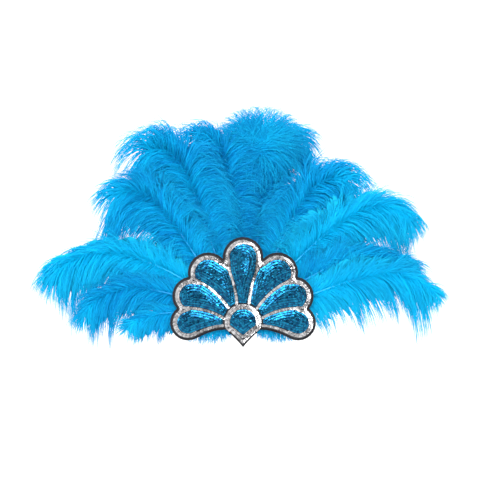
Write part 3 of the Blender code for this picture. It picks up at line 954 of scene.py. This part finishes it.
# %% Lay a row beside a line
def finely(line, step=0.2):
    """A closed line in small even steps."""
    closed = np.concatenate([line, line[:1]])
    length = np.concatenate([[0], np.cumsum(np.linalg.norm(np.diff(closed, axis=0), axis=1))])
    at = np.arange(0, length[-1], step)
    return np.stack([np.interp(at, length, closed[:, k]) for k in (0, 1)], axis=1)


def nearest(points, line):
    """How far each point is from a line of close points."""
    away = points[:, None, :] - line[None, :, :]
    return np.sqrt((away**2).sum(axis=2)).min(axis=1)


def row_beside(line, inset, pitch):
    """Places and directions of a row at a distance inside a closed line, or outside it."""
    fine = finely(line)
    ways = np.roll(fine, -3, axis=0) - np.roll(fine, 3, axis=0)
    ways /= np.linalg.norm(ways, axis=1, keepdims=True)
    moved = fine + np.stack([-ways[:, 1], ways[:, 0]], axis=1) * inset
    clear = nearest(moved, fine[::2]) > abs(inset) - 0.06
    places = []
    for place, way in zip(moved[clear], ways[clear]):
        if not places or np.linalg.norm(place - places[-1][:2]) >= pitch:
            places.append((*place, *way))
    if len(places) > 2 and np.linalg.norm(np.subtract(places[0], places[-1])[:2]) < pitch * 0.6:
        places.pop()
    return np.array(places).reshape(-1, 4)


# %% Lay sequins at the places of rows
def lay_sequins(name, rows, heights, domes, tilt_deg, size, finish):
    """Sequins on the ground's front, leaning outward by domes and along the row by tilt_deg."""
    count = len(rows)
    dome = np.radians(domes + chance.normal(0, 2.5, count))[:, None]
    tilt = np.radians(tilt_deg + 4 * drift(count, 7) + chance.normal(0, 3, count))[:, None]
    spin = chance.uniform(0, math.pi / 4, count)[:, None]
    along = np.stack([rows[:, 2], np.zeros(count), rows[:, 3]], axis=1)
    inward = np.stack([-rows[:, 3], np.zeros(count), rows[:, 2]], axis=1)
    front = np.tile((0.0, -1.0, 0.0), (count, 1))
    facing = front * np.cos(dome) - inward * np.sin(dome)
    inward = inward * np.cos(dome) + front * np.sin(dome)
    leaning = facing * np.cos(tilt) + along * np.sin(tilt)
    along = along * np.cos(tilt) - facing * np.sin(tilt)
    model = SEQUIN[0] * size
    x = model[:, 0] * np.cos(spin) - model[:, 1] * np.sin(spin)
    y = model[:, 0] * np.sin(spin) + model[:, 1] * np.cos(spin)
    centre = np.stack([rows[:, 0], heights, rows[:, 1]], axis=1)[:, None, :]
    points = centre + x[:, :, None] * along[:, None, :] + y[:, :, None] * inward[:, None, :]
    points += model[:, 2][None, :, None] * leaning[:, None, :]
    out = np.hypot(model[:, 0], model[:, 1]) / SEQUIN_RADIUS / size
    piece = joined_copies(name, SEQUIN, points, chance.random(count), out, finish)
    piece.data.shade_flat()
    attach(piece, "root")
    return count


# %% [markdown]
# ## Sequin finishes
#
# The sequins are metallised film: dark teal where they mirror the room, cyan and white where they
# catch a lamp. Each has its own tone, because film and angle vary, and a clear coat gives the
# white glints. The grounds under them are dense thread, dark enough to vanish between the rows.


# %% Foil
def foil_finish(name, dark, pale, roughness):
    """Metallised film whose tone differs from sequin to sequin."""
    coat = {"Coat_Weight": 0.1, "Coat_Roughness": 0.12}
    finish, tree, shader = new_finish(name, Roughness=roughness, Metallic=1.0, **coat)
    tones = add_group(tree, TONES, Spread=0.8, Drift_Scale=60.0, Dark=(*dark, 1), Pale=(*pale, 1))
    tree.links.new(tones.outputs["Color"], shader.inputs["Base Color"])
    crumple = add_node(tree, "TexNoise", Scale=900)
    place = add_node(tree, "TexCoord")
    tree.links.new(place.outputs["Object"], crumple.inputs["Vector"])
    add_bump(tree, shader, crumple.outputs["Fac"], 0.25, 0.00006)
    return finish


TEAL_FOIL = foil_finish("teal_foil", (0.0, 0.014, 0.08), (0.012, 0.24, 0.43), 0.2)
SILVER_FOIL = foil_finish("silver_foil", (0.2, 0.2, 0.21), (0.78, 0.77, 0.78), 0.27)
print("foils:", TEAL_FOIL.name, SILVER_FOIL.name)


# %% Thread grounds and felt
def fibre_finish(name, dark, pale, roughness, scale, stretch=(1, 1, 1), sheen=0.0, relief=0.0004):
    """Matted or twisted fibres, in a dark and a pale tone."""
    finish, tree, shader = new_finish(name, Roughness=roughness, Sheen_Weight=sheen)
    grain = add_group(tree, FIBRES, Scale=scale, Stretch=stretch)
    colour = two_tones(tree, grain.outputs["Mask"], dark, pale)
    tree.links.new(colour, shader.inputs["Base Color"])
    add_bump(tree, shader, grain.outputs["Height"], 0.7, relief)
    return finish


TEAL_GROUND = fibre_finish("teal_thread_ground", (0.0, 0.02, 0.04), (0.002, 0.06, 0.1), 0.8, 900)
GREY_GROUND = fibre_finish("grey_thread_ground", (0.006, 0.007, 0.01), (0.025, 0.026, 0.032), 0.85, 900)
BLACK_FELT = fibre_finish("black_felt", (0.004, 0.005, 0.007), (0.02, 0.022, 0.03), 0.95, 700, sheen=0.2)
print("grounds:", TEAL_GROUND.name, GREY_GROUND.name, BLACK_FELT.name)


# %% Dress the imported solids
def dress(node, finish):
    """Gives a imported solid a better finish."""
    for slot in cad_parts[node].material_slots:
        slot.material = finish


FIELDS = [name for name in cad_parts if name.startswith("petal_") and name != "petal_border"]
FIELDS.sort()
for node in FIELDS + ["boss_field"]:
    dress(node, TEAL_GROUND)
for node in ("boss_border", "petal_border"):
    dress(node, GREY_GROUND)
for node in ("felt_backing", "back_pad"):
    dress(node, BLACK_FELT)
print("turquoise fields:", len(FIELDS) + 1)

# %% [markdown]
# ## Turquoise fields
#
# Each petal is filled from its edge inwards with rows of small sequins, which lean outward near
# the border and so catch the light along the petal's upper side. The sequins of the right side
# run the other way round. Scattering them over the surface would be quicker, but sewn rows show
# as lines, and only what the last row leaves bare is filled one by one.

# %% Find where a field is still bare
PROBE_STEP = 0.35
EDGE_ROOM = 1.15
ROW_ROOM = 1.3
FILL_ROOM = 1.5


def inside(points, line):
    """Which points lie inside a closed line."""
    after = np.roll(line, -1, axis=0)
    x, z = points[:, :1], points[:, 1:2]
    spans = (line[:, 1] > z) != (after[:, 1] > z)
    rise_by = np.where(after[:, 1] == line[:, 1], 1.0, after[:, 1] - line[:, 1])
    cut = line[:, 0] + (z - line[:, 1]) / rise_by * (after[:, 0] - line[:, 0])
    return (spans & (cut > x)).sum(axis=1) % 2 == 1


def fill_middle(line, rows):
    """Places for the last sequins, where the innermost rows leave bare ground."""
    low, high = line.min(axis=0), line.max(axis=0)
    across, up = (np.arange(low[k], high[k], PROBE_STEP) for k in (0, 1))
    x, z = np.meshgrid(across, up)
    spots = np.stack([x.ravel(), z.ravel()], axis=1)
    spots = spots[inside(spots, line)]
    spots = spots[nearest(spots, finely(line)) > EDGE_ROOM]
    spots = spots[nearest(spots, rows[:, :2]) > ROW_ROOM]
    middle = []
    for spot in spots[np.argsort(np.hypot(spots[:, 0], spots[:, 1]))]:
        if all(np.hypot(*(spot - kept[:2])) > FILL_ROOM for kept in middle):
            out = spot / max(np.hypot(*spot), 0.1)
            middle.append((*spot, *out))
    return np.array(middle).reshape(-1, 4)


# %% Lay the turquoise fields
GROUND_FRONT_Y = -106.7
FIELD_CROWN = 0.7
FIELD_SLOPE_WIDTH = 2.4
FIELD_SEQUIN = 0.76
FIELD_INSET = 1.2
FIELD_PITCH = 1.55
ROW_SPACING = 2.3
FIELD_LIFT = 0.55
FIELD_TILT = 6
EDGE_LEAN = 21
MIDDLE_LEAN = -3


def lay_field(node):
    """Rows that follow a field's edge, from the edge to the middle."""
    line = outlines_of(node)[0]
    mirror = -1 if node.endswith("right") else 1
    rows, heights, domes = [], [], []
    inset = FIELD_INSET
    while True:
        row = row_beside(line, inset, FIELD_PITCH)
        if len(row) < 2:
            break
        row[:, 2:] *= mirror
        rows.append(row)
        crown = FIELD_CROWN * min(1.0, inset / FIELD_SLOPE_WIDTH)
        heights += [GROUND_FRONT_Y - crown - FIELD_LIFT] * len(row)
        lean = EDGE_LEAN + (MIDDLE_LEAN - EDGE_LEAN) * rise(inset, 4, 10)
        domes += list(lean * mirror + 3 * drift(len(row), 5))
        inset += ROW_SPACING
    rows = np.concatenate(rows)
    middle = fill_middle(line, rows)
    rows = np.concatenate([rows, middle])
    heights = np.array(heights + [GROUND_FRONT_Y - FIELD_CROWN - FIELD_LIFT] * len(middle))
    domes = np.array(domes + [0.0] * len(middle))
    name = node + "_sequins"
    return lay_sequins(
        name, rows, heights, domes, FIELD_TILT, FIELD_SEQUIN, TEAL_FOIL
    )


sequin_count = sum(lay_field(node) for node in FIELDS + ["boss_field"])
print("turquoise sequins:", sequin_count)

# %% [markdown]
# ## Silver border
#
# The border and the ring carry larger silver sequins, sewn so closely that each leans on the next.
# One row follows the felt's edge and one follows each petal. Cutting the rows by hand where they
# meet would be slow, so each new row leaves out what the rows before it already cover.

# %% Lay out the boss's ring
SILVER_PITCH = 1.3
RING_INSET = 1.4
POINT_INSET = 2.4
POINT_TOP = -9
BOSS_INSET = -1.35
BETWEEN_INSET = 3.2
RING_ROOM = 1.5
BETWEEN_ROOM = 1.45
ring_line = outlines_of("boss_border")[0]
boss_line = outlines_of("boss_field")[0]


def far_enough(row, kept, space):
    """The places of a row that leave room for the places laid before."""
    if not len(kept) or not len(row):
        return row
    return row[nearest(row[:, :2], kept[:, :2]) > space]


def with_row(kept, row, space):
    """The places laid before, and those of a new row that leave them room."""
    return np.concatenate([kept, far_enough(row, kept, space)])


round_row = row_beside(ring_line, RING_INSET, SILVER_PITCH)
point_row = row_beside(ring_line, POINT_INSET, SILVER_PITCH)
ring_rows = [round_row[round_row[:, 1] > POINT_TOP], point_row[point_row[:, 1] <= POINT_TOP]]
ring_rows = np.concatenate(ring_rows)
ring_rows = with_row(ring_rows, row_beside(boss_line, BOSS_INSET, SILVER_PITCH), RING_ROOM)
between = row_beside(ring_line, BETWEEN_INSET, SILVER_PITCH)
between = between[~inside(between[:, :2], boss_line)]
ring_rows = with_row(ring_rows, between, BETWEEN_ROOM)
print("places on the ring:", len(ring_rows))

# %% Lay out the petals' border
BORDER_INSET = 4.3
PETAL_INSET = -1.3
FILL_INSETS = (5.6, 7.6, 9.6)
SILVER_ROOM = 1.4
RING_CLEAR = 20
RING_EDGE_CLEAR = 1.0
FIELD_CLEAR = 1.1
FILL_CLEAR = 22
NOTCHES = ((16.6, 60.8), (18.0, 60.2), (17.6, 58.8), (17.0, 62.2))
felt_line = outlines_of("felt_backing")[0]
field_lines = [outlines_of(node)[0] for node in FIELDS]


def past_boss(row, radius):
    """The places of a row further from the boss's middle than a radius."""
    return row[np.hypot(row[:, 0], row[:, 1]) > radius]


def clear_of_ring(row):
    """The places of a row that lie outside the boss's ring."""
    return past_boss(row[nearest(row[:, :2], finely(ring_line)) > RING_EDGE_CLEAR], RING_CLEAR)


border_rows = clear_of_ring(row_beside(felt_line, BORDER_INSET, SILVER_PITCH))
for line in field_lines:
    beside = clear_of_ring(row_beside(line, PETAL_INSET, SILVER_PITCH))
    border_rows = with_row(border_rows, beside, SILVER_ROOM)
for inset in FILL_INSETS:
    beside = past_boss(row_beside(felt_line, inset, SILVER_PITCH), FILL_CLEAR)
    for line in field_lines:
        beside = beside[~inside(beside[:, :2], line)]
        beside = far_enough(beside, finely(line), FIELD_CLEAR)
    border_rows = with_row(border_rows, beside, SILVER_ROOM)
for side in (-1, 1):
    notch = [(side * x, z, side * 0.5, 0.85) for x, z in NOTCHES]
    border_rows = np.concatenate([border_rows, np.array(notch)])
print("places on the border:", len(border_rows))

# %% Lay the silver sequins
SILVER_LIFT = 0.6
SILVER_LEAN = 8
SILVER_TILT = 21
for node, rows in (("boss_border", ring_rows), ("petal_border", border_rows)):
    heights = np.full(len(rows), GROUND_FRONT_Y - SILVER_LIFT)
    lean = SILVER_LEAN + 7 * drift(len(rows), 9)
    name = node + "_sequins"
    count = lay_sequins(name, rows, heights, lean, SILVER_TILT, 1.0, SILVER_FOIL)
    print(node, "sequins:", count)

# %% [markdown]
# ## Back pad
#
# The back of the applique is closed with a felt pad, overcast with black thread round its edge.
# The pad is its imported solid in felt. The stitches could be a bump, but real ones catch the light
# at the rim, so each is a bent rod of thread.

# %% Sew
THREAD = fibre_finish("black_thread", (0.008, 0.009, 0.012), (0.035, 0.037, 0.045), 0.6, 1600, (1, 1, 4))
STITCH = pointed_rod(6, STRAND_STEPS)
STITCH_TAPER = np.array([0.5, 1.0, 1.0, 0.8, 0.0])


def sew(name, starts, ends, lift, thick):
    """Stitches between pairs of points in millimetres, each bowed along lift."""
    share = RINGS[None, :, None]
    paths = starts[:, None] * (1 - share) + ends[:, None] * share
    paths = paths + np.sin(np.pi * share) * np.array(lift)
    points = along_paths(paths, np.full(len(paths), thick), STITCH, STITCH_TAPER, 1.0)
    plant_rods(name, STITCH, points, chance.random(len(paths)), THREAD)
    return len(paths)


# %% Overcast the pad
PAD_INSET = 1.3
PAD_PITCH = 2.6
STITCH_IN = 1.0
STITCH_OUT = 1.25
pad_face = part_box("back_pad")[1][1] / MM
pad_row = row_beside(outlines_of("back_pad")[0], PAD_INSET, PAD_PITCH)
centre = np.stack([pad_row[:, 0], np.full(len(pad_row), pad_face), pad_row[:, 1]], axis=1)
slant = np.stack([pad_row[:, 2], 0 * pad_row[:, 2], pad_row[:, 3]], axis=1) * 0.5
inward = np.stack([-pad_row[:, 3], 0 * pad_row[:, 2], pad_row[:, 2]], axis=1)
starts = centre + slant + inward * STITCH_IN
ends = centre - slant - inward * STITCH_OUT
count = sew("pad_stitches", starts, ends, lift=(0, 0.35, 0), thick=0.28)
print("pad stitches:", count)

# %% [markdown]
# ## Headband
#
# The headband is woven elastic with fine ribs along it, and its two ends lap at the back of the
# head under zigzag rows. The band could be swept from a curve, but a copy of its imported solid
# keeps its shape. The ribs run round the loop, so they follow height and the angle round it.

# %% Elastic
RIB_PITCH = 0.0012
CROSS_WAVES = 560.0
CROSS_SHARE = 0.35


def sine_of(tree, source, rate):
    """A wave along a value."""
    scaled = add_node(tree, "Math")
    scaled.operation = "MULTIPLY"
    scaled.inputs[1].default_value = rate
    wave = add_node(tree, "Math")
    wave.operation = "SINE"
    tree.links.new(source, scaled.inputs[0])
    tree.links.new(scaled.outputs[0], wave.inputs[0])
    return wave.outputs[0]


def elastic_finish():
    """Black elastic: lengthwise cords with a fine cross weave between them."""
    finish, tree, shader = new_finish("woven_elastic", Roughness=0.7)
    place = add_node(tree, "TexCoord")
    parts = add_node(tree, "SeparateXYZ")
    around = add_node(tree, "Math")
    around.operation = "ARCTAN2"
    tree.links.new(place.outputs["Object"], parts.inputs[0])
    tree.links.new(parts.outputs["Y"], around.inputs[0])
    tree.links.new(parts.outputs["X"], around.inputs[1])
    weave = add_node(tree, "Math")
    weave.operation = "MULTIPLY_ADD"
    weave.inputs[1].default_value = CROSS_SHARE
    tree.links.new(sine_of(tree, around.outputs[0], CROSS_WAVES), weave.inputs[0])
    tree.links.new(sine_of(tree, parts.outputs["Z"], 2 * math.pi / RIB_PITCH), weave.inputs[2])
    level = add_node(tree, "MapRange", From_Min=-1 - CROSS_SHARE, From_Max=1 + CROSS_SHARE)
    tree.links.new(weave.outputs[0], level.inputs["Value"])
    colour = two_tones(tree, level.outputs["Result"], (0.004, 0.004, 0.005), (0.028, 0.028, 0.031))
    tree.links.new(colour, shader.inputs["Base Color"])
    add_bump(tree, shader, level.outputs["Result"], 0.8, 0.0004)
    return finish


ELASTIC = elastic_finish()
print("elastic:", ELASTIC.name)


# %% Weave the headband
def soften(piece, width):
    """Rounds a piece's edges with an applied bevel."""
    bevel = piece.modifiers.new("rounded", "BEVEL")
    bevel.width = width
    bevel.segments = 3
    bevel.limit_method = "ANGLE"
    bpy.ops.object.modifier_apply(modifier=bevel.name)
    bpy.ops.object.shade_smooth_by_angle(angle=math.radians(50))


band = bpy.data.objects.new("elastic_band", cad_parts["headband"].data.copy())
bpy.context.collection.objects.link(band)
edit(band)
bpy.ops.mesh.select_all(action="SELECT")
bpy.ops.mesh.remove_doubles(threshold=0.00002)
bpy.ops.mesh.tris_convert_to_quads()
bpy.ops.mesh.normals_make_consistent(inside=False)
close_edit(band)
soften(band, 0.0004)
band.data.materials.clear()
band.data.materials.append(ELASTIC)
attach(band, "root")
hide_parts("headband")
low, high = (np.array(corner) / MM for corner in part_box("headband"))
print("band faces:", len(band.data.polygons))

# %% Lap its ends
LAP_HALF = 11.0
LAP_THICK = 1.1
LAP_SUNK = 0.6
LAP_BOW = 0.01
lap_place = (0, (high[1] + LAP_THICK / 2 - LAP_SUNK) * MM, 0)
bpy.ops.object.select_all(action="DESELECT")
bpy.ops.mesh.primitive_cube_add(size=1, location=lap_place)
lap = bpy.context.object
lap.name = "band_lap"
lap.scale = (2 * LAP_HALF * MM, LAP_THICK * MM, (high[2] - low[2]) * MM)
bpy.ops.object.transform_apply(location=True, rotation=True, scale=True)
edit(lap)
bpy.ops.mesh.select_all(action="SELECT")
bpy.ops.mesh.subdivide(number_cuts=9)
close_edit(lap)
spots = points_of(lap.data)
spots[:, 1] -= LAP_BOW * spots[:, 0] ** 2 / MM
lap.data.vertices.foreach_set("co", spots.ravel())
soften(lap, 0.0003)
lap.data.materials.append(ELASTIC)
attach(lap, "root")
print("lap faces:", len(lap.data.polygons))

# %% Sew the lap with zigzags
ZIGZAG_FROM_END = 2.2
ZIGZAG_STEP = 1.3
ZIGZAG_SWING = 0.9
STITCH_SUNK = 0.55
starts, ends = [], []
for at in (-LAP_HALF + ZIGZAG_FROM_END, LAP_HALF - ZIGZAG_FROM_END):
    face = high[1] + LAP_THICK - STITCH_SUNK - LAP_BOW * at**2
    ups = np.arange(low[2] + 1.2, high[2] - 1.0, ZIGZAG_STEP)
    for number, up in enumerate(ups[:-1]):
        swing = ZIGZAG_SWING if number % 2 else -ZIGZAG_SWING
        starts.append((at - swing, face, up))
        ends.append((at + swing, face, up + ZIGZAG_STEP))
starts, ends = np.array(starts), np.array(ends)
count = sew("lap_stitches", starts, ends, lift=(0, 0.3, 0), thick=0.25)
print("lap stitches:", count)

# %% [markdown]
# ## Backdrop paper
#
# The backdrop is matt paper with a faint grain, so that the lamps leave no bright spot on it.

# %% Finish the backdrop
PAPER = fibre_finish("backdrop_paper", (0.8, 0.8, 0.8), (0.84, 0.84, 0.84), 0.9, 300, relief=0.0001)
backdrop.data.materials.append(PAPER)
print("backdrop finish:", PAPER.name)
